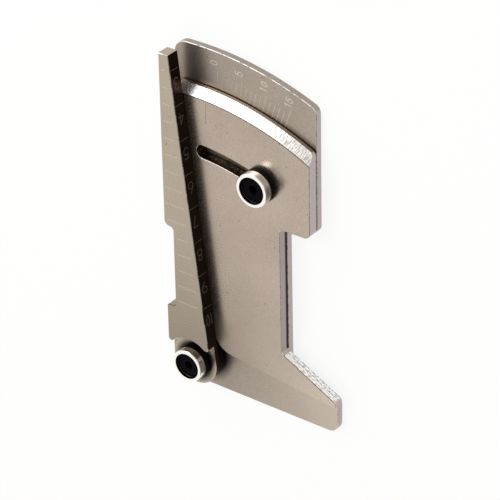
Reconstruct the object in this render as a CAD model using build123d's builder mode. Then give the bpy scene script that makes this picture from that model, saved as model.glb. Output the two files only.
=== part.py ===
"""Wheel camber and ride-height gauge for scale-model cars, all sizes in millimetres.

The gauge lies on its back: X runs along its base edge, Y up the plates and Z out of the dial face.
Three flat pieces turn about one pivot screw. The back plate carries the degree dial and the base
edge. The front plate swings over it, guided by an arc slot on a clamp screw. The wedge lever on top
is as wide at each of its marks as the number there says. Every outline below is drawn from the pivot.
"""
from build123d import *
from math import atan, cos, radians, sin, sqrt, tan
import os

# Thicknesses, stacked from the back face outwards
back_t = 1.6
plate_shim_t = 0.3
front_t = 2.5
lever_shim_t = 0.1
lever_t = 3.3
lever_ear_t = 1.2

# Back plate: dial arc, base edge and the profile that faces the wheel
dial_r = 78.0
dial_left_x = 5.75
base_drop = 8.2
hump_x = 31.15
hump_under_y = 41.6
waist_x = 23.25
back_slope_y = 6.9
back_foot_x = 36.4
back_foot_y = -0.4
dial_left_corner_r = 3.1
dial_right_corner_r = 2.0
base_left_corner_r = 5.9
base_right_corner_r = 2.6
foot_corner_r = 0.8
hump_corner_r = 1.6
waist_corner_r = 0.8

# Front plate: index arc, a bevel over a low upright wall, sloping lower edge and the ear round the pivot
index_r = 69.2
index_wall_t = 0.9
index_bevel = 2.1
index_corner_r = 1.6
front_ear_r = 5.5
front_left_x = 4.6
front_foot_x = 37.6
front_foot_y = 0.7
front_slope_y = 9.85
front_slope = 28.5
slope_corner_r = 2.0
lower_edge_slope = 6.5
lower_corner_r = 5.1
notch_wall_x = 4.7
notch_top_y = 11.0
notch_w = 2.6
foot_tip_r = 0.3

# Arc slot and clamp screw
slot_r = 54.3
slot_w = 3.2
clamp_angle = 19.8
camber_travel = 16.0
slot_overrun = 0.6

# Wedge lever: one mark to the next is mark_pitch down the lever and mark_step_w more width
mark_low = 3.0
mark_low_y = 73.4
mark_pitch = 8.2
mark_step_w = 1.0
lever_top_y = 77.1
lever_lean = 0.5
lever_recess_r = 6.55
lever_tip_r = 0.8
lever_notch_depth = 2.4
lever_notch_low_y = 14.2
lever_notch_high_y = 34.8
lever_notch_inner_r = 0.9
lever_notch_outer_r = 1.4
lever_bump_r = 0.7

# Screws, cup collars, the black washers under them, and shims
screw_r = 1.5
bore_clearance = 0.05
thread_clearance = 0.02
head_r = 2.85
head_rim_t = 0.3
hex_across_flats = 2.0
hex_depth = 1.1
screw_end_z = 0.2
screw_end_chamfer = 0.3
washer_t = 1.4
washer_bore_r = 2.0
collar_r = 4.0
collar_h = 1.9
collar_mouth_r = 3.15
collar_chamfer = 0.15
head_sink = 0.7
seat_clearance = 0.02
shim_r = 3.5

# Broken edges of the milled pieces
plate_chamfer = 0.1
lever_chamfer = 0.12

# Levels of the stack
front_z = back_t + plate_shim_t
front_face_z = front_z + front_t
lever_z = front_face_z + lever_shim_t
lever_ear_z = lever_z + lever_ear_t

# The lever's two long edges are tangent to its round end
wedge_angle = atan(mark_step_w / mark_pitch)
hub_width = mark_low + mark_low_y * mark_step_w / mark_pitch
lever_ear_r = hub_width * cos(wedge_angle) / (1 + cos(wedge_angle))

# The origin is under the middle of the gauge, on its back face
pivot_x = (lever_ear_r - front_foot_x) / 2
pivot_y = (base_drop - dial_r) / 2
pivot_plane = Plane(origin=(pivot_x, pivot_y, 0))
lean_x = (cos(radians(lever_lean)), -sin(radians(lever_lean)), 0)
lever_plane = Plane(origin=(pivot_x, pivot_y, 0), x_dir=lean_x, z_dir=(0, 0, 1))

# Clamp screw, seen from the pivot: angles are clockwise from the line straight up the plate
clamp_x = slot_r * sin(radians(clamp_angle))
clamp_y = slot_r * cos(radians(clamp_angle))
clamp_plane = Plane(origin=(pivot_x + clamp_x, pivot_y + clamp_y, 0))


def corner(sketch, x, y, radius):
    """Round the corner of a sketch that lies nearest to the point x, y."""
    fillet(sketch.vertices().sort_by_distance((x, y, 0))[0], radius)


def arc_y(radius, x):
    """Height of a circle round the pivot above the point x."""
    return sqrt(radius**2 - x**2)


with BuildPart() as back_plate:
    with BuildSketch(pivot_plane) as dial_outline:
        with BuildLine():
            Polyline(
                (-dial_left_x, -base_drop),
                (back_foot_x, -base_drop),
                (back_foot_x, back_foot_y),
                (waist_x, back_slope_y),
                (waist_x, hump_under_y),
                (hump_x, hump_under_y),
                (hump_x, dial_r),
                (-dial_left_x, dial_r),
                close=True,
            )
        make_face()
        Circle(dial_r, mode=Mode.INTERSECT)
        corner(dial_outline, -dial_left_x, -base_drop, base_left_corner_r)
        corner(dial_outline, back_foot_x, -base_drop, base_right_corner_r)
        corner(dial_outline, back_foot_x, back_foot_y, foot_corner_r)
        corner(dial_outline, waist_x, back_slope_y, slope_corner_r)
        corner(dial_outline, waist_x, hump_under_y, waist_corner_r)
        corner(dial_outline, hump_x, hump_under_y, hump_corner_r)
        corner(dial_outline, hump_x, arc_y(dial_r, hump_x), dial_right_corner_r)
        corner(dial_outline, -dial_left_x, arc_y(dial_r, dial_left_x), dial_left_corner_r)
    extrude(amount=back_t)
    chamfer(back_plate.faces().sort_by(Axis.Z)[-1].outer_wire().edges(), plate_chamfer)
    with BuildSketch(pivot_plane):
        with Locations((0, 0), (clamp_x, clamp_y)):
            Circle(screw_r + thread_clearance)
    extrude(amount=back_t, mode=Mode.SUBTRACT)

# Front plate: the notch beside the ear lets the foot swing down past the pivot
nose_top_y = front_slope_y - (front_foot_x - waist_x) * tan(radians(front_slope))
lower_edge_y = front_foot_y + (front_foot_x - notch_wall_x) * tan(radians(lower_edge_slope))
neck_x = notch_wall_x - notch_w
notch_mid_x = notch_wall_x - notch_w / 2
notch_shoulder_y = notch_top_y - notch_w / 2

with BuildLine() as slot_path:
    CenterArc(
        (0, 0),
        slot_r,
        start_angle=90 - clamp_angle - slot_overrun,
        arc_size=camber_travel + 2 * slot_overrun,
    )

with BuildPart() as front_plate:
    with BuildSketch(pivot_plane.offset(front_z)) as swing_outline:
        with BuildLine():
            Polyline(
                (neck_x, notch_shoulder_y),
                (neck_x, 0),
                (-front_left_x, 0),
                (-front_left_x, index_r),
                (hump_x, index_r),
                (hump_x, hump_under_y),
                (waist_x, hump_under_y),
                (waist_x, front_slope_y),
                (front_foot_x, nose_top_y),
                (front_foot_x, front_foot_y),
                (notch_wall_x, lower_edge_y),
                (notch_wall_x, notch_shoulder_y),
            )
            ThreePointArc(
                (notch_wall_x, notch_shoulder_y),
                (notch_mid_x, notch_top_y),
                (neck_x, notch_shoulder_y),
            )
        make_face()
        Circle(front_ear_r)
        Circle(index_r, mode=Mode.INTERSECT)
        corner(swing_outline, notch_wall_x, lower_edge_y, lower_corner_r)
        corner(swing_outline, front_foot_x, front_foot_y, foot_tip_r)
        corner(swing_outline, front_foot_x, nose_top_y, foot_corner_r)
        corner(swing_outline, waist_x, front_slope_y, slope_corner_r)
        corner(swing_outline, waist_x, hump_under_y, waist_corner_r)
        corner(swing_outline, hump_x, hump_under_y, hump_corner_r)
        corner(swing_outline, hump_x, arc_y(index_r, hump_x), index_corner_r)
        corner(swing_outline, -front_left_x, arc_y(index_r, front_left_x), index_corner_r)
    extrude(amount=front_t)
    with Locations(pivot_plane.offset(front_z)):
        Cone(
            index_r + index_bevel * index_wall_t / (front_t - index_wall_t),
            index_r - index_bevel,
            front_t,
            align=(Align.CENTER, Align.CENTER, Align.MIN),
            mode=Mode.INTERSECT,
        )
    with BuildSketch(pivot_plane.offset(front_z)):
        SlotArc(slot_path.edge(), slot_w)
    extrude(amount=front_t, mode=Mode.SUBTRACT)
    chamfer(front_plate.faces().sort_by(Axis.Z)[-1].edges(), plate_chamfer)
    with BuildSketch(pivot_plane.offset(front_z)):
        Circle(screw_r + bore_clearance)
    extrude(amount=front_t, mode=Mode.SUBTRACT)

# Wedge lever: one outline for the whole lever, and a pocket round the collar in its upper part
tip_y = sqrt(lever_recess_r**2 - lever_ear_r**2)
lever_top_w = mark_low - (lever_top_y - mark_low_y) * mark_step_w / mark_pitch
notch_x = -lever_ear_r + lever_notch_depth

with BuildPart() as wedge_lever:
    with BuildSketch(lever_plane.offset(lever_z)) as lever_outline:
        with BuildLine():
            Polyline(
                (-lever_ear_r, 0),
                (-lever_ear_r, lever_notch_low_y),
                (notch_x, lever_notch_low_y),
                (notch_x, lever_notch_high_y),
                (-lever_ear_r, lever_notch_high_y),
                (-lever_ear_r, lever_top_y),
                (lever_top_w - lever_ear_r, lever_top_y),
                (lever_ear_r * cos(wedge_angle), lever_ear_r * sin(wedge_angle)),
                close=True,
            )
        make_face()
        Circle(lever_ear_r)
        corner(lever_outline, -lever_ear_r, lever_notch_low_y, lever_bump_r)
        corner(lever_outline, notch_x, lever_notch_low_y, lever_notch_inner_r)
        corner(lever_outline, notch_x, lever_notch_high_y, lever_notch_inner_r)
        corner(lever_outline, -lever_ear_r, lever_notch_high_y, lever_notch_outer_r)
    extrude(amount=lever_ear_t)
    with BuildSketch(lever_plane.offset(lever_ear_z)) as lever_upper:
        add(lever_outline.sketch_local)
        Circle(lever_recess_r, mode=Mode.SUBTRACT)
        corner(lever_upper, -lever_ear_r, tip_y, lever_tip_r)
        corner(lever_upper, lever_ear_r, tip_y, lever_tip_r)
    extrude(amount=lever_t - lever_ear_t)
    chamfer(wedge_lever.faces().sort_by(Axis.Z)[-1].outer_wire().edges(), lever_chamfer)
    with BuildSketch(lever_plane.offset(lever_z)):
        Circle(screw_r + bore_clearance)
    extrude(amount=lever_ear_t, mode=Mode.SUBTRACT)

os.makedirs("parts", exist_ok=True)
back_plate.part.label = "back_plate"
export_step(back_plate.part, "parts/back_plate.step")
front_plate.part.label = "front_plate"
export_step(front_plate.part, "parts/front_plate.step")
wedge_lever.part.label = "wedge_lever"
export_step(wedge_lever.part, "parts/wedge_lever.step")

# The same flat-head screw, cup collar and black washer hold the pivot and the slot
head_cone_h = head_r - screw_r
collar_foot_r = collar_mouth_r - (collar_h - head_sink)

for name, plane, seat_z in (
    ("pivot", pivot_plane, lever_ear_z),
    ("clamp", clamp_plane, front_face_z),
):
    side_plane = Plane(origin=plane.origin, x_dir=(1, 0, 0), z_dir=(0, -1, 0))
    axis = Axis(plane.origin, (0, 0, 1))
    collar_z = seat_z + washer_t
    mouth_z = collar_z + collar_h
    head_z = mouth_z - head_sink + seat_clearance

    with BuildPart() as washer:
        with BuildSketch(plane.offset(seat_z)):
            Circle(collar_r)
            Circle(washer_bore_r, mode=Mode.SUBTRACT)
        extrude(amount=washer_t)
    washer.part.label = f"{name}_washer"
    export_step(washer.part, f"parts/{name}_washer.step")

    with BuildPart() as collar:
        with BuildSketch(side_plane):
            with BuildLine():
                Polyline(
                    (collar_foot_r, collar_z),
                    (collar_r - collar_chamfer, collar_z),
                    (collar_r, collar_z + collar_chamfer),
                    (collar_r, mouth_z - collar_chamfer),
                    (collar_r - collar_chamfer, mouth_z),
                    (collar_mouth_r, mouth_z),
                    (collar_mouth_r, mouth_z - head_sink),
                    close=True,
                )
            make_face()
        revolve(axis=axis)
    collar.part.label = f"{name}_collar"
    export_step(collar.part, f"parts/{name}_collar.step")

    with BuildPart() as screw:
        with BuildSketch(side_plane):
            with BuildLine():
                Polyline(
                    (0, screw_end_z),
                    (screw_r - screw_end_chamfer, screw_end_z),
                    (screw_r, screw_end_z + screw_end_chamfer),
                    (screw_r, head_z - head_rim_t - head_cone_h),
                    (head_r, head_z - head_rim_t),
                    (head_r, head_z),
                    (0, head_z),
                    close=True,
                )
            make_face()
        revolve(axis=axis)
        with BuildSketch(plane.offset(head_z)):
            RegularPolygon(hex_across_flats / 2, 6, major_radius=False)
        extrude(amount=-hex_depth, mode=Mode.SUBTRACT)
    screw.part.label = f"{name}_screw"
    export_step(screw.part, f"parts/{name}_screw.step")

# Thin shims keep the plates and the lever apart
for name, plane, seat_z, shim_t in (
    ("pivot_shim", pivot_plane, back_t, plate_shim_t),
    ("lever_shim", pivot_plane, front_face_z, lever_shim_t),
    ("clamp_shim", clamp_plane, back_t, plate_shim_t),
):
    with BuildPart() as shim:
        with BuildSketch(plane.offset(seat_z)):
            Circle(shim_r)
            Circle(screw_r + bore_clearance, mode=Mode.SUBTRACT)
        extrude(amount=shim_t)
    shim.part.label = name
    export_step(shim.part, f"parts/{name}.step")
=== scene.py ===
# %% [markdown]
# # Camber gauge
# A pocket gauge for setting up the wheels of scale-model cars. Two flat plates and a long wedge
# lever turn on one pivot screw, and a second screw clamps the swing through an arc slot. The solid
# model of those pieces is already made. This lesson adds what the eye needs: the metal finishes,
# the etched scales, the floor, the light and the camera.
#
# The first cell loads the solid model as a fixed frame. Its pieces stay where they are and keep
# their meshes. We only hang materials on them and put new pieces on top, in metres.

# %% Load the model
from math import atan, cos, radians, sin, sqrt
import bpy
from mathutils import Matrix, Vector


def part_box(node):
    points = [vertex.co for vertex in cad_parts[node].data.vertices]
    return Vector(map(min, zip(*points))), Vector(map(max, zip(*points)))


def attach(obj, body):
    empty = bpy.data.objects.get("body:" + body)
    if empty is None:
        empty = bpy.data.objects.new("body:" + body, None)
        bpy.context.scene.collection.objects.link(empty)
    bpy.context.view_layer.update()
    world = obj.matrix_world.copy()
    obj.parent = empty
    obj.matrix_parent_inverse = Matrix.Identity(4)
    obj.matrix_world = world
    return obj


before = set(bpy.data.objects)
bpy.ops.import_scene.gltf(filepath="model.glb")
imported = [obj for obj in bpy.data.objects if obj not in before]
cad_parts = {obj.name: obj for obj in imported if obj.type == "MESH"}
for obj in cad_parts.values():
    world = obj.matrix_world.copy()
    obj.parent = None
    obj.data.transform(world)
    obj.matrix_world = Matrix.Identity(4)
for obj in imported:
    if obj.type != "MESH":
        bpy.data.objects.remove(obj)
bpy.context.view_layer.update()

from types import SimpleNamespace

import bpy
import numpy as np
from mathutils import Matrix, Vector

MM = 0.001
print("pieces:", ", ".join(sorted(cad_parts)))

# %% [markdown]
# ## Where things are
# Every scale on this gauge is read round the pivot screw, so most numbers are easiest to give from
# the pivot: a radius and an angle, or a height up the lever. The pivot's place and the levels of
# the faces come from the model, so nothing has to be fitted by hand.

# %% Pivot and levels
def box_mm(name):
    """Lowest and highest corner of a model piece, in millimetres."""
    return np.array([list(corner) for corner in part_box(name)]) / MM


pivot = box_mm("pivot_screw").mean(axis=0)
dial_z = box_mm("back_plate")[1][2]
swing_z = box_mm("front_plate")[1][2]
lever_low_z, lever_z = box_mm("wedge_lever")[:, 2]
print("pivot, mm:", pivot[:2].round(3), "faces, mm:", dial_z.round(2), swing_z.round(2), lever_z.round(2))

# %% [markdown]
# ## The camera
# The photograph is a close view through a long lens, from above the dial and off to one side, with
# the gauge's long side upright in the frame. A camera is a place, a direction and an up. We turn
# the direction from two angles, take the gauge's own Y axis as up, and then roll the frame by the
# last degree that the picture leans.

# %% Camera
azimuth, elevation, lean = radians(135.08), radians(43.46), radians(-1.17)
away = Vector((sin(azimuth) * cos(elevation), -cos(azimuth) * cos(elevation), sin(elevation)))
level_right = Vector((0, 1, 0)).cross(away).normalized()
level_up = away.cross(level_right)
right = cos(lean) * level_right + sin(lean) * level_up
up = cos(lean) * level_up - sin(lean) * level_right

camera = bpy.data.objects.new("camera", bpy.data.cameras.new("camera"))
bpy.context.scene.collection.objects.link(camera)
bpy.context.scene.camera = camera
aim, distance = Vector((1.727, 4.10, 1.6)) * MM, 512.75 * MM
turned_to_view = Matrix((right, up, away)).transposed().to_4x4()
camera.matrix_world = Matrix.Translation(aim + away * distance) @ turned_to_view
camera.data.sensor_width, camera.data.lens = 36, 171.08
camera.data.shift_x, camera.data.shift_y = -0.0316, -0.046
camera.data.clip_start, camera.data.clip_end = 0.01, 10
print("camera, mm:", [round(c / MM, 1) for c in camera.location])

# %% [markdown]
# ## Helpers for materials
# A material is a small network of nodes. One helper fills and links the inputs of a node, one adds
# a node with its settings, and one turns a hex colour, as a paint chart gives it, into the linear
# numbers that the renderer works with. With these three, each line below is one node of a network.

# %% Node and colour helpers
def linear(hex_colour):
    """sRGB hex to linear red, green, blue and alpha. With c from 0 to 1, it is c / 12.92 near black and
    otherwise ((c + 0.055) / 1.055) to the power 2.4."""
    value = np.array([int(hex_colour[i : i + 2], 16) for i in (1, 3, 5)]) / 255
    value = np.where(value <= 0.04045, value / 12.92, ((value + 0.055) / 1.055) ** 2.4)
    return (*value, 1.0)


def plug(made, inputs):
    """Link or fill a node's inputs by name or number. A hex colour is turned to linear on the way."""
    for key, value in inputs.items():
        if isinstance(value, bpy.types.NodeSocket):
            made.id_data.links.new(value, made.inputs[key])
        else:
            made.inputs[key].default_value = linear(value) if isinstance(value, str) else value


def node(tree, kind, inputs=None, **settings):
    """Add a node, apply its settings, and link or fill its inputs."""
    made = tree.nodes.new(kind)
    for key, value in settings.items():
        setattr(made, key, value)
    plug(made, inputs or {})
    return made


print("#808080 in linear numbers:", [float(c.round(3)) for c in linear("#808080")[:3]])

# %% [markdown]
# ## Surroundings
# Metal has hardly any look of its own: it shows what stands round it. So the light comes first.
# One half of the studio is pale and the half on the photographer's side is dark. The flat faces
# mirror the pale half, and the lever's side mirrors the dark one. To the camera itself the studio
# is plain white, as the paper under the gauge is.

# %% Surroundings
world = bpy.data.worlds.new("studio")
world.use_nodes = True
bpy.context.scene.world = world
sky = world.node_tree
sky.nodes.clear()
direction = node(sky, "ShaderNodeTexCoord").outputs["Generated"]


def patch(x, y, z, start, end, far, near):
    """A soft patch of sky. Nearness is the dot product with the direction x, y, z, and the strength goes
    from far, where nearness is start, to near, where it is end."""
    along = tuple(np.array((x, y, z)) / sqrt(x * x + y * y + z * z))
    nearness = node(sky, "ShaderNodeVectorMath", {0: direction, 1: along}, operation="DOT_PRODUCT")
    ramp = {"Value": nearness.outputs["Value"],
            "From Min": start, "From Max": end, "To Min": far, "To Max": near}
    return node(sky, "ShaderNodeMapRange", ramp, interpolation_type="SMOOTHSTEP").outputs["Result"]


pale_side = patch(-0.60, -0.50, 0.62, start=0.20, end=0.80, far=0.72, near=1.03)
dark_side = patch(0.62, -0.40, 0.67, start=0.78, end=0.94, far=1.0, near=0.30)
glow = node(sky, "ShaderNodeMath", {0: pale_side, 1: dark_side}, operation="MULTIPLY").outputs[0]
seen = node(sky, "ShaderNodeLightPath").outputs["Is Camera Ray"]
studio = node(sky, "ShaderNodeBackground", {"Color": "#FFFDFA", "Strength": glow})
plain = node(sky, "ShaderNodeBackground", {"Color": "#FFFFFF", "Strength": 1.0})
both = node(sky, "ShaderNodeMixShader", {0: seen, 1: studio.outputs[0], 2: plain.outputs[0]})
node(sky, "ShaderNodeOutputWorld", {"Surface": both.outputs[0]})
print("sky nodes:", len(sky.nodes))

# %% [markdown]
# ## Softboxes
# A photographer puts large white lamps where the metal should shine. One stands where the bevel
# mirrors it, so the index edge lights up. A long low one fills the far side, and a faint one hangs
# overhead. A lamp that the metal can mirror adds to the sky behind it, so the wide ones are weak.

# %% Softboxes
def softbox(name, place, size, strength):
    """An oblong area lamp, in mm, that looks at the gauge. An even face of some strength gives off pi
    times that strength times its area, in watts."""
    made = bpy.data.lights.new(name, "AREA")
    made.shape, made.size, made.size_y = "RECTANGLE", size[0] * MM, size[1] * MM
    made.energy = np.pi * strength * made.size * made.size_y
    lamp = bpy.data.objects.new(name, made)
    bpy.context.scene.collection.objects.link(lamp)
    lamp.location = Vector(place) * MM
    lamp.rotation_euler = Vector(place).to_track_quat("Z", "Y").to_euler()
    print(name, "at", place, "mm,", round(made.energy, 2), "W")


softbox("bevel_softbox", (-275, 315, 430), size=(350, 240), strength=2.6)
softbox("low_softbox", (-190, 470, 160), size=(640, 300), strength=1.0)
softbox("overhead_softbox", (0, 0, 800), size=(700, 700), strength=0.35)

# %% [markdown]
# ## Floor
# The gauge lies on a white sheet of paper. Paper in soft light is never quite white in a picture.
# So to the camera, and in what the metal mirrors, most of the sheet is a plain white glow. The
# rest of it is real, rough paper, and that part keeps the gauge's soft shadow.

# %% Floor
def new_material(name):
    """A node material, its tree and its shader node."""
    made = bpy.data.materials.new(name)
    made.use_nodes = True
    return made, made.node_tree, made.node_tree.nodes["Principled BSDF"]


reach = 1500 * MM
floor_mesh = bpy.data.meshes.new("floor")
corners = np.array([(-1, -1, 0), (1, -1, 0), (1, 1, 0), (-1, 1, 0)]) * reach
floor_mesh.from_pydata(corners.tolist(), [], [(0, 1, 2, 3)])
floor = bpy.data.objects.new("floor", floor_mesh)
bpy.context.scene.collection.objects.link(floor)

camera_share, mirror_share = 0.84, 0.8
paper, tree, shader = new_material("white_paper")
plug(shader, {"Base Color": "#FAFAFA", "Roughness": 0.9})
rays = node(tree, "ShaderNodeLightPath").outputs
to_camera = node(tree, "ShaderNodeMath", {0: rays["Is Camera Ray"], 1: camera_share}, operation="MULTIPLY")
to_mirror = node(tree, "ShaderNodeMath", {0: rays["Is Glossy Ray"], 1: mirror_share}, operation="MULTIPLY")
share = node(tree, "ShaderNodeMath", {0: to_camera.outputs[0], 1: to_mirror.outputs[0]}, operation="ADD")
white = node(tree, "ShaderNodeEmission", {"Color": "#FFFFFF", "Strength": 1.0})
blend = node(tree, "ShaderNodeMixShader", {0: share.outputs[0], 1: shader.outputs[0], 2: white.outputs[0]})
plug(tree.nodes["Material Output"], {"Surface": blend.outputs[0]})
floor_mesh.materials.append(paper)
print("floor, m:", 2 * reach, "square")

# %% [markdown]
# ## Anodised plates
# The three flat pieces are aluminium plate: bead blasted, then anodised to a warm grey. Blasting
# gives the satin sheen and a fine grain. Anodising leaves it a metal, so the colour tints what it
# mirrors. Years of use rub some places bare, and painted light and shade go on in other places. We
# work as a painter would: a ground coat first, then thin coats, each one laid on through a mask. So a
# coat can be changed or left out without a thought for the others.

# %% Coats and masks
def coated(tree, ground, *coats):
    """Lay coats of colour over a ground, one after another. A coat is a mask and a colour: the result is
    (1 - mask) x what lies under it + mask x its own colour."""
    # a Mix node that mixes colours has them in its inputs 6 and 7, and its result in output 2
    for mask, coat in coats:
        ground = node(tree, "ShaderNodeMix", {0: mask, 6: ground, 7: coat}, data_type="RGBA").outputs[2]
    return ground


def where(tree, *tests):
    """A mask that is 1 where every test holds. A test is a value, its target and how far off it may be, and
    counts as 1 or 0. Another mask may stand among the tests, because all are multiplied together."""
    masks = []
    for test in tests:
        if isinstance(test, tuple):
            value, target, reach = test
            near = {0: value, 1: target, 2: reach}
            test = node(tree, "ShaderNodeMath", near, operation="COMPARE").outputs[0]
        masks.append(test)
    product = masks[0]
    for mask in masks[1:]:
        product = node(tree, "ShaderNodeMath", {0: product, 1: mask}, operation="MULTIPLY").outputs[0]
    return product

# %% [markdown]
# ### Where a point lies and which way it looks
# A mask needs something to test. Two things tell almost every place on this gauge apart: where a
# point lies from the pivot, and which way its facet looks. A broken corner looks half up, the
# bevel looks up a little more, and the foot's slope looks along one known direction. So no face
# has to be picked by hand. All of it is in millimetres, as on a drawing.

# %% Bearings
slope_turn = radians(28.5)
slope_out = (sin(slope_turn), cos(slope_turn), 0)


def bearings(tree, centre):
    """Where a point lies, in mm: its place, and its step from a centre, whole and as right, up and high.
    radius is the step's length in the flat, sqrt(right^2 + up^2), and level the height over the floor."""
    metres = node(tree, "ShaderNodeTexCoord").outputs["Object"]
    place = node(tree, "ShaderNodeVectorMath", {0: metres, "Scale": 1 / MM}, operation="SCALE").outputs[0]
    step = node(tree, "ShaderNodeVectorMath", {0: place, 1: tuple(centre)}, operation="SUBTRACT").outputs[0]
    flat = node(tree, "ShaderNodeVectorMath", {0: step, 1: (1, 1, 0)}, operation="MULTIPLY").outputs[0]
    radius = node(tree, "ShaderNodeVectorMath", {0: flat}, operation="LENGTH").outputs["Value"]
    parts = node(tree, "ShaderNodeSeparateXYZ", {0: step}).outputs
    level = node(tree, "ShaderNodeSeparateXYZ", {0: place}).outputs["Z"]
    return SimpleNamespace(place=place, step=step, radius=radius, level=level,
                           right=parts["X"], up=parts["Y"], high=parts["Z"])


def plate_bearings(tree):
    """Bearings from the pivot, and which way a facet looks: how far to the right, how far up, and how
    nearly the way that the foot's slope looks. Each is a dot product, from -1 to 1."""
    at = bearings(tree, pivot)
    facing = node(tree, "ShaderNodeTexCoord").outputs["Normal"]
    looks = node(tree, "ShaderNodeSeparateXYZ", {0: facing}).outputs
    sloped = node(tree, "ShaderNodeVectorMath", {0: facing, 1: slope_out}, operation="DOT_PRODUCT")
    at.looks_right, at.looks_up, at.looks_sloped = looks["X"], looks["Z"], sloped.outputs["Value"]
    return at


print("the foot's slope looks along", [round(c, 3) for c in slope_out])

# %% [markdown]
# ### The blasted skin
# Blasting leaves a sandy grain, and the dye bath leaves faint clouds. Mixed, the two give one
# shade that slides between a dark and a light tone. Here and there the plate has a small pit.

# %% Blasted skin
def blasted_skin(tree, at, light, dark):
    """The ground coat, and its grain for other coats to use. The shade is (1 - share) x grain + share x
    cloud, stretched round its middle from the dark tone to the light one."""
    # blast grit is about 0.1 mm; drawn at 0.3 mm, the finest that shows in the picture
    grit, cloud_size, pit_size = 0.3, 14, 0.7
    cloud_share, half_spread = 0.412, 0.1765
    grains = node(tree, "ShaderNodeTexNoise", {"Vector": at.place, "Scale": 1 / grit, "Detail": 2})
    grain = grains.outputs["Fac"]
    cloud = node(tree, "ShaderNodeTexNoise", {"Vector": at.place, "Scale": 1 / cloud_size, "Detail": 3})
    shade = node(tree, "ShaderNodeMix", {0: cloud_share, 2: grain, 3: cloud.outputs["Fac"]}).outputs[0]
    spread = node(tree, "ShaderNodeMapRange",
                  {"Value": shade, "From Min": 0.5 - half_spread, "From Max": 0.5 + half_spread})
    pits = node(tree, "ShaderNodeTexNoise", {"Vector": at.place, "Scale": 1 / pit_size, "Detail": 0})
    pitted = node(tree, "ShaderNodeMapRange",
                  {"Value": pits.outputs["Fac"], "From Min": 0.80, "From Max": 0.84, "To Max": 0.6})
    return coated(tree, dark, (spread.outputs[0], light), (pitted.outputs[0], "#6E645A")), grain

# %% [markdown]
# ### Darker near the pivot, painted shade and painted light
# The plates are darker towards the pivot end. The dial beside the lever gets a painted shade, where
# the lever darkens it. The end of the foot is painted paler, as painted light. Each of these fades out
# slowly, so each mask is a ramp along one bearing, and two ramps together make a corner.

# %% Tone ramps
def handling(tree, at, pivot_darkening):
    """Coats that ramp along the bearings: darker near the pivot, painted shade on the dial beside the lever
    and painted light on the foot. The third argument is how dark the plate gets near the pivot.
    """
    # darker towards the pivot end
    past_round_end = (at.radius, 50, 43.8)
    towards_pivot = node(tree, "ShaderNodeMapRange",
                   {"Value": at.radius, "From Min": 6, "From Max": 36, "To Min": pivot_darkening, "To Max": 0})
    near_pivot_dark = where(tree, past_round_end, towards_pivot.outputs[0])

    # painted shade on the dial beside the lever
    dial_height, dial_level = (at.up, 79, 12), (at.level, 0.8, 0.9)
    by_lever = node(tree, "ShaderNodeMapRange",
                    {"Value": at.right, "From Min": 1, "From Max": 10, "To Min": 0.4, "To Max": 0})
    inwards = node(tree, "ShaderNodeMapRange", {"Value": at.up, "From Min": 78, "From Max": 69})
    lever_shade_on_dial = where(tree, dial_height, dial_level, by_lever.outputs[0], inwards.outputs[0])

    # painted light: the end of the foot is painted paler
    outwards = node(tree, "ShaderNodeMapRange",
                    {"Value": at.right, "From Min": 14, "From Max": 38, "To Max": 0.5})
    downwards = node(tree, "ShaderNodeMapRange", {"Value": at.up, "From Min": 18, "From Max": 4})
    painted_light_on_foot = where(tree, outwards.outputs[0], downwards.outputs[0])
    return [(near_pivot_dark, "#8F8578"), (lever_shade_on_dial, "#3A332D"), (painted_light_on_foot, "#DACCBD")]

# %% [markdown]
# ### Cut sides, slot walls and underside
# The sides that look right get a painted tone for the light that they mirror: pale and cool on the
# plates, near black on the lever. The walls of the slot are painted dark as shade, with pale brown
# streaks of painted reflection. The underside gets a tone of its own, dark on the front plate and the
# lever as painted shade.

# %% Cut sides
slot_radius = 54.3


def cut_sides(tree, at, grain, side, under):
    """Coats of painted light and shade: for sides that look right, with two tones mixed by the grain, for
    the walls of the slot, and for the underside beyond the round end."""
    # painted light and shade: a tone for the sides that look right, for the light that they mirror
    looks_right = (at.looks_right, 1, 0.1)
    painted_side_tone = coated(tree, side[0], (grain, side[1]))

    # painted shade on the walls of the slot, with streaks of painted reflection
    upright = (at.looks_up, 0, 0.2)
    slot_width, slot_length = (at.radius, slot_radius, 2), (at.right, 11.5, 11)
    slot_wall_shade = where(tree, upright, slot_width, slot_length)
    streak_size = 0.6
    streaks = node(tree, "ShaderNodeTexNoise", {"Vector": at.place, "Scale": 1 / streak_size, "Detail": 3})
    reflection_streaks = node(tree, "ShaderNodeMapRange",
                        {"Value": streaks.outputs["Fac"], "From Min": 0.45, "From Max": 0.65})
    slot_shade_tone = coated(tree, "#1E1712", (reflection_streaks.outputs[0], "#6E5C44"))

    # painted shade on the underside, dark on the front plate and the lever
    looks_down, past_ear = (at.looks_up, -1, 0.5), (at.up, 59, 50)
    underside = where(tree, looks_down, past_ear)
    return [(where(tree, looks_right), painted_side_tone), (slot_wall_shade, slot_shade_tone), (underside, under)]

# %% [markdown]
# ### Painted shade round the pivot, the ear and the waist
# A ring of painted shade lies round the pivot, dark next to the washer and the ear, where they
# shade the metal and it mirrors their dark sides. On the front plate the side of the round ear is
# painted dark as shade too, and so is the waist's side, where the two plates lie a hair apart: black
# low down for the shade in the gap, and a darker grey above.

# %% Painted shade round the pivot
def oiled(tree, at, strength, full, gone):
    """A coat of painted shade round the pivot, from full strength at one radius to nothing at the other."""
    # painted shade next to the washer and the ear
    ring = node(tree, "ShaderNodeMapRange",
                {"Value": at.radius, "From Min": full, "From Max": gone, "To Min": strength, "To Max": 0})
    return [(ring.outputs[0], "#1C1714")]


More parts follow.
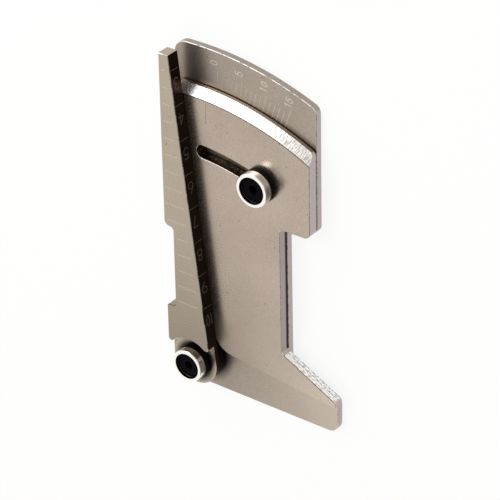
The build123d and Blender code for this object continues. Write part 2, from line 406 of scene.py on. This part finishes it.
def ear_and_waist(tree, at):
    """Coats of painted shade for the side of the front plate's ear and for its waist, black low down and
    paler above.
    """
    # painted shade on the side of the ear, and on the waist's side for the gap between the plates
    upright, ear = (at.looks_up, 0, 0.2), (at.radius, 0, 6.5)
    looks_right, waist_edge = (at.looks_right, 1, 0.1), (at.right, 23.25, 0.5)
    low_down = node(tree, "ShaderNodeMapRange",
                    {"Value": at.level, "From Min": 2.35, "From Max": 2.7, "To Min": 1, "To Max": 0})
    waist_shade_tone = coated(tree, "#A39694", (low_down.outputs[0], "#14100F"))
    return [(where(tree, upright, ear), "#2A211B"), (where(tree, looks_right, waist_edge), waist_shade_tone)]

# %% [markdown]
# ### Cutter marks
# The bevel and the foot's slope were milled last and left bare, and the cutter left ribs on both.
# A rib is noise that runs fast one way and slowly the other. On the bevel the ribs stand square to
# the edge, so the fast way goes round the arc. On the slope they lie along it, so it goes upwards.

# %% Cutter marks
bevel_radius = 68.4
slope_along = (cos(slope_turn), -sin(slope_turn), 0)


def ribs(tree, at, on_foot):
    """Cutter marks: noise over two runs. On the bevel they are the angle round the pivot times the radius,
    and the height. On the foot's slope they are the distance along the slope, and the height."""
    # real cutter marks are about 0.1 mm apart; drawn at 0.28 and 0.32 mm so that they show
    arc_pitch, arc_length, slope_length, slope_pitch = 0.28, 0.9, 0.8, 0.32
    turn = node(tree, "ShaderNodeMath", {0: at.right, 1: at.up}, operation="ARCTAN2").outputs[0]
    arc_runs = node(tree, "ShaderNodeCombineXYZ", {0: turn, 1: at.high}).outputs[0]
    arc_waves = (bevel_radius / arc_pitch, 1 / arc_length, 0)
    on_arc = node(tree, "ShaderNodeVectorMath", {0: arc_runs, 1: arc_waves}, operation="MULTIPLY").outputs[0]
    along = node(tree, "ShaderNodeVectorMath", {0: at.step, 1: slope_along}, operation="DOT_PRODUCT")
    slope_runs = node(tree, "ShaderNodeCombineXYZ", {0: along.outputs["Value"], 1: at.high}).outputs[0]
    slope_waves = (1 / slope_length, 1 / slope_pitch, 0)
    on_slope = node(tree, "ShaderNodeVectorMath", {0: slope_runs, 1: slope_waves}, operation="MULTIPLY")
    # a Mix node that mixes vectors has them in its inputs 4 and 5, and its result in output 1
    ends = {0: on_foot, 4: on_arc, 5: on_slope.outputs[0]}
    waves = node(tree, "ShaderNodeMix", ends, data_type="VECTOR").outputs[1]
    noise = {"Vector": waves, "Scale": 1, "Detail": 2}
    return node(tree, "ShaderNodeTexNoise", noise, noise_dimensions="2D").outputs["Fac"]

# %% [markdown]
# ### Milled slopes
# Bare milled metal is the brightest on the plates, and each rib is painted with a white highlight on one side
# and a grey shade on the other.
# On the foot's slope the cutter's teeth also left two rows of small dark dots. The bevel is known
# by how far up it looks, and the slope by its direction and its place low on the plate.

# %% Milled slopes
def milled(tree, at):
    """The mask of the bare slopes, their ribs, and their coats: ribs with painted highlights and shade, then
    the two rows of dots.
    """
    near_foot, looks_bevelled = (at.up, 0, 20), (at.looks_up, 0.795, 0.03)
    looks_sloped = (at.looks_sloped, 1, 0.015)
    on_foot = where(tree, near_foot)
    slope, bevel = where(tree, on_foot, looks_sloped), where(tree, looks_bevelled)
    bare = node(tree, "ShaderNodeMath", {0: bevel, 1: slope}, operation="MAXIMUM").outputs[0]
    rib = ribs(tree, at, on_foot)
    # painted highlight and shade on the ribs: white crests over grey
    rib_highlights = node(tree, "ShaderNodeMapRange", {"Value": rib, "From Min": 0.35, "From Max": 0.60})
    bare_tone_with_rib_light = coated(tree, "#C4BFBA", (rib_highlights.outputs[0], "#FDFCFA"))

    dot_size, upper, lower, half_row = 0.45, 2.9, 2.05, 0.09
    upper_row, lower_row = where(tree, (at.level, upper, half_row)), where(tree, (at.level, lower, half_row))
    rows = node(tree, "ShaderNodeMath", {0: upper_row, 1: lower_row}, operation="MAXIMUM").outputs[0]
    spots = node(tree, "ShaderNodeTexNoise", {"Vector": at.place, "Scale": 1 / dot_size, "Detail": 0})
    dots = node(tree, "ShaderNodeMapRange",
                {"Value": spots.outputs["Fac"], "From Min": 0.42, "From Max": 0.50, "To Max": 0.8})
    dotted = where(tree, slope, rows, dots.outputs[0])
    return bare, rib, [(bare, bare_tone_with_rib_light), (dotted, "#4A443E")]

# %% [markdown]
# ### Rubbed corners
# The broken corners are the first thing that wear reaches. They are rubbed bare in patches and painted
# near-white, which also serves as painted highlights along them, less so round the slot. Three places
# are painted dark: the edge over the foot's slope, the lip under the lever's notch as painted shade, and
# the narrow facets along the bevel that look almost straight up.

# %% Rubbed corners
def rubbed_corners(tree, at):
    """Coats for the corners: bare patches that are also painted highlights, then the dark places, with the
    notch's lip as painted shade.
    """
    half, patch_size, less_by_slot = sqrt(0.5), 1.2, 0.7
    corner, near_slot, near_foot = (at.looks_up, half, 0.03), (at.radius, slot_radius, 2.3), (at.up, 0, 20)
    patches = node(tree, "ShaderNodeTexNoise", {"Vector": at.place, "Scale": 1 / patch_size, "Detail": 2})
    bare = node(tree, "ShaderNodeMapRange",
                {"Value": patches.outputs["Fac"], "From Min": 0.38, "From Max": 0.50})
    by_slot = where(tree, near_slot)
    away_from_slot = node(tree, "ShaderNodeMath", {0: by_slot, 1: -less_by_slot, 2: 1}, operation="MULTIPLY_ADD")
    # bare patches, which also stand in for highlights along the corners
    rubbed_and_highlit = where(tree, corner, bare.outputs[0], away_from_slot.outputs[0])

    slope_edge = where(tree, corner, (at.looks_sloped, half, 0.03), near_foot)
    # painted shade on the lip under the lever's notch
    notch, lip_level, leans_up = (at.up, 14, 1.6), (at.level, 7.75, 0.2), (at.looks_up, 0.6, 0.3)
    notch_lip_shade = where(tree, notch, lip_level, leans_up)
    near_flat_facets = where(tree, (at.looks_up, 0.95, 0.02))
    return [(rubbed_and_highlit, "#FAF8F4"), (slope_edge, "#3A342F"), (notch_lip_shade, "#3F3832"), (near_flat_facets, "#4A433C")]

# %% [markdown]
# ### The whole finish
# Now the coats go on, the tone ramps and the painted light and shade first and bare metal last. The
# roughness follows the grain, and handling has dulled the plates round the pivot. A very shallow bump
# lets the grain and the ribs catch the light. One function can then finish all three pieces, each in
# its own tones.

# %% Anodised finish
def anodised(name, light, dark, under, side, smooth, dulled, pivot_darkening, pivot_shade, more_coats=None):
    """Bead-blasted, anodised aluminium: a satin metal with a warm grey tint, painted light and shade, wear
    and bare slopes. smooth is its least roughness, and dulled is what handling adds to that round the pivot."""
    made, tree, shader = new_material(name)
    at = plate_bearings(tree)
    skin, grain = blasted_skin(tree, at, light, dark)
    bare, rib, slopes = milled(tree, at)
    coats = handling(tree, at, pivot_darkening) + cut_sides(tree, at, grain, side, under) + oiled(tree, at, *pivot_shade)
    coats += (more_coats(tree, at) if more_coats else []) + slopes + rubbed_corners(tree, at)

    satin = node(tree, "ShaderNodeMapRange", {"Value": grain, "To Min": smooth, "To Max": smooth + 0.06})
    dull = node(tree, "ShaderNodeMapRange",
                {"Value": at.radius, "From Min": 8, "From Max": 16, "To Min": dulled, "To Max": 0})
    rough = node(tree, "ShaderNodeMath", {0: satin.outputs[0], 1: dull.outputs[0]}, operation="ADD")
    height = node(tree, "ShaderNodeMix", {0: bare, 2: grain, 3: rib}).outputs[0]
    bump = node(tree, "ShaderNodeBump", {"Height": height, "Strength": 0.06, "Distance": 0.02 * MM})
    plug(shader, {"Metallic": 1, "Base Color": coated(tree, skin, *coats), "Roughness": rough.outputs[0],
                  "Normal": bump.outputs[0]})
    return made

# %% [markdown]
# ### Back plate, front plate and lever
# The three came out of the bath in slightly different greys. The back plate is the coolest, and
# the front plate and the lever have the smoother faces. The lever's right side is nearly black in
# the photograph, because it mirrors the dark half of the studio. The soft sky here can't make it
# that dark alone, so the side also gets a far darker tone than the other cut sides.

# %% Three plates
def finish_with(made, *names):
    """Give model pieces this material."""
    for name in names:
        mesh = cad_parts[name].data
        mesh.materials.clear()
        mesh.materials.append(made)
    print(made.name, "on", ", ".join(names))


# painted tones for the sides that look right, for the light that they mirror: pale on the plates, near black
# on the lever; under is painted shade on the front plate and the lever
painted_pale_side, shaded_side = ("#BFB2AF", "#AEA2A1"), ("#4A382B", "#2E221A")
back_finish = anodised("grey_anodised_back_plate", light="#AEA398", dark="#988D83", under="#9F9388",
                       side=painted_pale_side, smooth=0.30, dulled=0.16, pivot_darkening=0, pivot_shade=(0.85, 5.4, 7.8))
front_finish = anodised("grey_anodised_front_plate", light="#BFB1A4", dark="#A6998D", under="#3A332D",
                        side=painted_pale_side, smooth=0.24, dulled=0.22, pivot_darkening=0.6, pivot_shade=(0.85, 5.4, 7.4),
                        more_coats=ear_and_waist)
lever_finish = anodised("grey_anodised_lever", light="#B9AD9D", dark="#A69B8C", under="#5A5048",
                        side=shaded_side, smooth=0.24, dulled=0, pivot_darkening=0.85, pivot_shade=(0.95, 4.4, 5.8))
finish_with(back_finish, "back_plate")
finish_with(front_finish, "front_plate")
finish_with(lever_finish, "wedge_lever")

# %% [markdown]
# ## Cup collars
# Two cups of bright aluminium hold the screw heads. They were turned on a lathe from bar and left
# bare, so they are the whitest metal here, with fine rings round their axis. The rings are noise
# along one number: how far a point is from the axis, plus how high it lies. The inside of the cup is
# painted dark, as shade round the screw head.

# %% Turned collars
def lathe_rings(tree, at, pitch):
    """Turning marks: noise along the radius plus the height, with one wave in each pitch, in mm."""
    run = node(tree, "ShaderNodeMath", {0: at.radius, 1: at.high}, operation="ADD").outputs[0]
    waves = {"W": run, "Scale": 1 / pitch, "Detail": 2}
    return node(tree, "ShaderNodeTexNoise", waves, noise_dimensions="1D").outputs["Fac"]


def turned_aluminium(name, collar):
    """Bare turned aluminium: near-white metal with fine lathe rings, faint handling marks, and painted shade
    inside the cup.
    """
    made, tree, shader = new_material(name)
    at = bearings(tree, box_mm(collar).mean(axis=0))
    # feed marks are 0.05 mm apart; drawn at 0.15 mm so that they show
    ring_pitch, smear_size, cup_radius = 0.15, 1.5, 3.2
    rings = lathe_rings(tree, at, ring_pitch)
    smears = node(tree, "ShaderNodeTexNoise", {"Vector": at.place, "Scale": 1 / smear_size, "Detail": 3})
    smear = smears.outputs["Fac"]
    smeared = node(tree, "ShaderNodeMapRange", {"Value": smear, "From Min": 0.55, "To Max": 0.5}).outputs[0]
    # painted shade inside the cup, round the screw head
    cup_shade = where(tree, (at.radius, 0, cup_radius))
    colour = coated(tree, "#FFFEFC", (rings, "#EFEDE9"), (smeared, "#D9D3CA"), (cup_shade, "#2B2725"))
    rough = node(tree, "ShaderNodeMapRange", {"Value": smear, "To Min": 0.12, "To Max": 0.26})
    bump = node(tree, "ShaderNodeBump", {"Height": rings, "Strength": 0.25, "Distance": 0.02 * MM})
    plug(shader, {"Metallic": 1, "Base Color": colour, "Roughness": rough.outputs[0],
                  "Normal": bump.outputs[0]})
    return made


for collar in ("pivot_collar", "clamp_collar"):
    finish_with(turned_aluminium("turned_aluminium_" + collar, collar), collar)

# %% [markdown]
# ## Black screws
# The screws are turned steel with a black oxide skin, made in a hot bath and then oiled. It is
# nearly black and a little violet, and the head's fine rings catch an oily shine. The oxide hides
# the metal, so the material is no metal to the renderer, only dark and slightly glossy.

# %% Screws
def black_oxide(name, screw):
    """Black oxide on turned steel: dark, slightly glossy, mottled, with rings on the head."""
    made, tree, shader = new_material(name)
    at = bearings(tree, box_mm(screw).mean(axis=0))
    # feed marks again, drawn at 0.2 mm so that they show under the skin
    ring_pitch, mottle_size = 0.2, 0.8
    rings = lathe_rings(tree, at, ring_pitch)
    mottle = node(tree, "ShaderNodeTexNoise", {"Vector": at.place, "Scale": 1 / mottle_size, "Detail": 4})
    mottled = mottle.outputs["Fac"]
    rough = node(tree, "ShaderNodeMapRange", {"Value": mottled, "To Min": 0.15, "To Max": 0.35})
    bump = node(tree, "ShaderNodeBump", {"Height": rings, "Strength": 0.3, "Distance": 0.02 * MM})
    plug(shader, {"Specular IOR Level": 0.02, "Base Color": coated(tree, "#050306", (mottled, "#0D0A10")),
                  "Roughness": rough.outputs[0], "Normal": bump.outputs[0]})
    return made


for screw in ("pivot_screw", "clamp_screw"):
    finish_with(black_oxide("black_oxide_" + screw, screw), screw)

# %% [markdown]
# ## Washers and shims
# The washers and shims are black nylon, moulded: matt, with the faint texture of the mould. They
# sit in shadow between bright parts, and keep the metal faces from scraping each other.

# %% Washers and shims
nylon, tree, shader = new_material("moulded_black_nylon")
at = bearings(tree, pivot)
# a mould's texture is about 0.05 mm; drawn at 0.25 mm so that it shows
texture_size = 0.25
textures = node(tree, "ShaderNodeTexNoise", {"Vector": at.place, "Scale": 1 / texture_size, "Detail": 2})
texture = textures.outputs["Fac"]
rough = node(tree, "ShaderNodeMapRange", {"Value": texture, "To Min": 0.5, "To Max": 0.7})
bump = node(tree, "ShaderNodeBump", {"Height": texture, "Strength": 0.2, "Distance": 0.03 * MM})
plug(shader, {"Specular IOR Level": 0.12, "Base Color": coated(tree, "#030303", (texture, "#080708")),
              "Roughness": rough.outputs[0], "Normal": bump.outputs[0]})
finish_with(nylon, "pivot_washer", "clamp_washer", "pivot_shim", "clamp_shim", "lever_shim")

# %% [markdown]
# ## Etched marks
# Lines and numbers are burnt through the grey skin of the metal, down to pale frosted aluminium, with
# a stroke of one width, as an engraving machine draws them. So each number is a few strokes along
# arcs and straight runs, and a stroke is one flat bar carried along its path.

# %% Stroke
def ribbon(path, width, low, high):
    """A bar along a path. Each point of the path gives four corners: half a width to its left and to
    its right, square to the way the path runs there, at a low and at a high level. The top climbs by
    0.002 mm along the path, so that no two tops lie in one plane where a loop closes."""
    path = np.array(path, dtype=float)
    ahead = np.gradient(path, axis=0)
    ahead /= np.linalg.norm(ahead, axis=1, keepdims=True)
    if np.linalg.norm(path[0] - path[-1]) > width:
        path[0] -= ahead[0] * width / 2
        path[-1] += ahead[-1] * width / 2
    left = np.stack((-ahead[:, 1], ahead[:, 0]), axis=1) * width / 2
    sides = np.stack((path + left, path - left, path - left, path + left), axis=1)
    climb = np.linspace(0, 0.002, len(path))[:, None] * (0, 0, 1, 1)
    levels = (climb + (low, low, high, high))[:, :, None]
    points = np.concatenate((sides, levels), axis=2).reshape(-1, 3)
    start = np.arange(len(path) - 1)[:, None] * 4
    k = np.arange(4)[None, :]
    onward = (k + 1) % 4
    quads = np.stack((start + k, start + k + 4, start + onward + 4, start + onward), axis=2).reshape(-1, 4)
    last = 4 * (len(path) - 1)
    ends = np.array(((0, 1, 2, 3), (last + 3, last + 2, last + 1, last)))
    return points, np.concatenate((quads, ends))

# %% [markdown]
# ### Strokes on a face
# A scale is one piece of many bars. They are worked out flat, as on paper, and then laid on a face
# of the model by its origin, its right and its up. Each scale rides on the plate that carries it,
# so it moves with that plate.

# %% Scales
def etched(name, paths, width, face, body, finish):
    """One piece of bars on a face. face is its origin, its right and its up, in mm. A bar is sunk
    0.03 mm into the metal and stands some 0.01 mm proud of it, each a little more than the last, so that
    it never flickers with the face or with the bar that it crosses."""
    origin, x_way, y_way = (np.array(v, dtype=float) for v in face)
    basis = np.stack((x_way, y_way, np.cross(x_way, y_way)))
    sunk, proud, prouder = 0.03, 0.006, 0.003
    points, quads, count = [], [], 0
    for order, path in enumerate(paths):
        bar_points, bar_quads = ribbon(path, width, low=-sunk, high=proud + prouder * (order % 4))
        points.append(origin + bar_points @ basis)
        quads.append(bar_quads + count)
        count += len(bar_points)
    mesh = bpy.data.meshes.new(name)
    mesh.from_pydata((np.concatenate(points) * MM).tolist(), [], np.concatenate(quads).tolist())
    mesh.materials.append(finish)
    made = bpy.data.objects.new(name, mesh)
    bpy.context.scene.collection.objects.link(made)
    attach(made, body)
    print(name, "strokes:", len(paths), "faces:", len(mesh.polygons))

# %% [markdown]
# ## Digits
# The numbers are drawn in a box one wide and one high. An engraving machine knows only lines and
# arcs, so the digits are plain: a 0 is one closed oval, and a 9 is a 6 turned upside down.

# %% Digits
def arc(x, y, across, tall, start, end, count=15):
    """Points of an oval: its middle plus half its width times cos and half its height times sin."""
    turn = np.radians(np.linspace(start, end, count))
    return np.stack((x + across * np.cos(turn), y + tall * np.sin(turn)), axis=1)


six = [arc(0.50, 0.31, 0.50, 0.31, 0, 360, 25), arc(0.95, 0.33, 0.95, 0.67, 105, 180)]
DIGITS = {
    "0": [arc(0.50, 0.50, 0.50, 0.50, 0, 360, 25)],
    "1": [[(0.20, 0.76), (0.60, 1.0)], [(0.60, 1.0), (0.60, 0.0)]],
    "3": [arc(0.46, 0.76, 0.42, 0.24, 150, -90), arc(0.46, 0.27, 0.50, 0.27, 90, -150)],
    "4": [[(0.72, 1.0), (0.0, 0.3)], [(0.0, 0.3), (1.0, 0.3)], [(0.72, 1.0), (0.72, 0.0)]],
    "5": [[(0.90, 1.0), (0.14, 1.0)], [(0.14, 1.0), (0.08, 0.55)], arc(0.46, 0.33, 0.50, 0.33, 140, -150)],
    "6": six,
    "7": [[(0.0, 1.0), (1.0, 1.0)], [(1.0, 1.0), (0.35, 0.0)]],
    "8": [arc(0.50, 0.77, 0.40, 0.23, 0, 360, 21), arc(0.50, 0.27, 0.50, 0.27, 0, 360, 25)],
    "9": [(1.0, 1.0) - np.array(path) for path in six],
}


def number(text, middle, reading, wide, tall, pitch):
    """Strokes of a number round its middle. reading is the way it is read, and up is a quarter turn left."""
    reading = np.array(reading, dtype=float)
    upward = np.array((-reading[1], reading[0]))
    paths = []
    for place, digit in enumerate(text):
        shift = (place - (len(text) - 1) / 2) * pitch
        for path in DIGITS[digit]:
            local = (np.array(path) - 0.5) * (wide, tall) + (shift, 0)
            paths.append(np.array(middle) + local[:, :1] * reading + local[:, 1:] * upward)
    return paths


print("digits:", " ".join(DIGITS))

# %% [markdown]
# ## Frosted metal
# Where the laser has burnt the skin away, bare aluminium shows, paler and rougher than the skin
# round it. The burn isn't even, so its strength is patchy along the stroke. On the dial the lines
# nearest the lever are worn almost away. The marks on the lever's dark side get a darker copy of the
# frost, as painted shade.

# %% Frosted metal
def laser_frosted(name, clear, faint, rough, fade=None):
    """Aluminium laid bare by a laser, patchy along the stroke. fade is two distances right of the pivot:
    the marks are rubbed nearly away at the first and full from the second on."""
    made, tree, shader = new_material(name)
    at = bearings(tree, pivot)
    # the laser's lines are about 0.05 mm apart; drawn as patches of 0.4 mm so that they show
    patch_size, least = 0.4, 0.15
    burn = node(tree, "ShaderNodeTexNoise", {"Vector": at.place, "Scale": 1 / patch_size, "Detail": 2})
    burnt = burn.outputs["Fac"]
    strength = node(tree, "ShaderNodeMapRange", {"Value": burnt, "From Min": 0.1, "From Max": 0.5}).outputs[0]
    if fade:
        kept = node(tree, "ShaderNodeMapRange",
                    {"Value": at.right, "From Min": fade[0], "From Max": fade[1], "To Min": least})
        strength = where(tree, strength, kept.outputs[0])
    uneven = node(tree, "ShaderNodeMapRange", {"Value": burnt, "To Min": rough - 0.1, "To Max": rough + 0.1})
    plug(shader, {"Metallic": 1, "Base Color": coated(tree, faint, (strength, clear)),
                  "Roughness": uneven.outputs[0]})
    return made


dial_frost = laser_frosted("frosted_dial_marks", "#D5CEC6", "#A0958A", rough=0.5, fade=(-0.18, 27.82))
number_frost = laser_frosted("frosted_dial_numbers", "#CFC8C0", "#B0A69B", rough=0.5)
# a darker copy of the frost for the lever's dark side, as painted shade
shaded_side_frost = laser_frosted("shaded_frosted_side_marks", "#857A6F", "#5E554D", rough=0.7)
lever_frost = laser_frosted("frosted_lever_marks", "#D2CABF", "#B9AFA1", rough=0.5)
index_fill = laser_frosted("dark_filled_line", "#857A70", "#9A8F84", rough=0.5)
frosts = (dial_frost, number_frost, shaded_side_frost, lever_frost, index_fill)
print("frosted:", ", ".join(made.name for made in frosts))

# %% [markdown]
# ## The degree dial
# Sixteen lines, one degree apart, fan out from the pivot along the top of the back plate. Every
# fifth line is a little longer and has its number above it, read outwards.

# %% Dial scale
def polar(radius, angle):
    """A point from the pivot, at an angle in degrees, clockwise from straight up the plate."""
    return np.array((radius * sin(radians(angle)), radius * cos(radians(angle))))


dial_face = ((pivot[0], pivot[1], dial_z), (1, 0, 0), (0, 1, 0))
# the line for 0 stands 4.5 degrees to the right of straight up
zero_angle, last_degree = 4.5, 15
line_start, short_end, long_end, number_radius = 69.3, 72.6, 73.6, 75.2
lines = [(polar(line_start, zero_angle + n), polar(short_end if n % 5 else long_end, zero_angle + n))
         for n in range(last_degree + 1)]
etched("dial_lines", lines, width=0.13, face=dial_face, body="dial", finish=dial_frost)

# a number stands a little left of its line, in degrees
number_lead = 0.85
numbers = []
for n in range(0, last_degree + 1, 5):
    angle = zero_angle + n - number_lead
    numbers += number(str(n), polar(number_radius, angle), polar(1, angle), wide=0.85, tall=1.75, pitch=1.35)
etched("dial_numbers", numbers, width=0.20, face=dial_face, body="dial", finish=number_frost)

# %% [markdown]
# ## The index line
# A short line down from the bevel, with a dot at its foot, is read against the dial. Dirt has
# settled in it, so it is the only mark that is darker than its ground.

# %% Index line
index_angle, dot_radius = 3.86, 0.10
line_top, line_foot, dot_middle = 66.6, 62.1, 61.9
swing_face = ((pivot[0], pivot[1], swing_z), (1, 0, 0), (0, 1, 0))
index = [(polar(line_top, index_angle), polar(line_foot, index_angle)),
         arc(*polar(dot_middle, index_angle), dot_radius, dot_radius, start=0, end=360, count=13)]
etched("index_line", index, width=0.10, face=swing_face, body="profile", finish=index_fill)

# %% [markdown]
# ## The lever's width scale
# The lever is a wedge: at each line it is as many millimetres wide as the number there. Beside the
# notch, that width counts from the line of the left edge, over the gap. The lines start a little in
# from the left edge and end short of the right one, and those beside the notch start further in.

# %% Lever scale
# the lever leans half a degree to the right
tilt = radians(-0.5)
lever_x = np.array((cos(tilt), sin(tilt), 0))
lever_y = np.array((-sin(tilt), cos(tilt), 0))
# the line for 3 is 73.4 mm up from the pivot, and 1 mm more of width takes 8.2 mm of length
first_mark, last_mark, half_mark, first_y, pitch_y = 3, 10, 0.5, 73.4, 8.2
round_end, left_gap, notch_gap, right_gap, last_above_notch = 5.954, 0.75, 3.35, 1.35, 7.5
lever_face = ((pivot[0], pivot[1], lever_z), lever_x, lever_y)
lines = []
for n in np.arange(first_mark, last_mark + half_mark, half_mark):
    y = first_y - pitch_y * (n - first_mark)
    start = notch_gap if n > last_above_notch else left_gap
    lines.append(((start - round_end, y), (n - right_gap - round_end, y)))
etched("lever_lines", lines, width=0.11, face=lever_face, body="lever", finish=lever_frost)

# %% [markdown]
# ## The lever's side scale
# The lines carry on across the lever's right side, and there stand the numbers, upside down to us,
# because the gauge is read with the pivot held away from you. The side leans with the wedge, so
# its face is worked out from the slope of the scale: 1 mm of width in each pitch of the marks.

# %% Side scale
wedge = atan(1 / pitch_y)
side_out = cos(wedge) * lever_x + sin(wedge) * lever_y
side_up = cos(wedge) * lever_y - sin(wedge) * lever_x
# the side runs tangent to the round end, and its face starts where they touch
touch = np.array((pivot[0], pivot[1], 0)) + round_end * side_out
side_face = (touch, (0, 0, 1), -side_up)


def along(y):
    """Distance up the side face for a height y up the lever."""
    return (y - round_end * sin(wedge)) / cos(wedge)


# a number stands 3.3 mm below its line, and the 10 has narrower digits
lines, numbers = [], []
edge_gap, below_line = 0.25, 3.3
for n in range(first_mark, last_mark + 1):
    y = first_y - pitch_y * (n - first_mark)
    lines.append(((lever_low_z + edge_gap, -along(y)), (lever_z - edge_gap, -along(y))))
    middle_z, wide = (6.1, 1.5) if n < 10 else (5.75, 1.05)
    numbers += number(str(n), (middle_z, -along(y - below_line)), (1, 0), wide, tall=2.6, pitch=1.3)
etched("side_lines", lines, width=0.13, face=side_face, body="lever", finish=shaded_side_frost)
etched("side_numbers", numbers, width=0.17, face=side_face, body="lever", finish=shaded_side_frost)

# %% [markdown]
# ## Colour view
# The picture is shown through the plain Standard view transform. The dressed model has
# to stay inside the solid one.

# %% Finish
bpy.context.scene.view_settings.view_transform = "Standard"
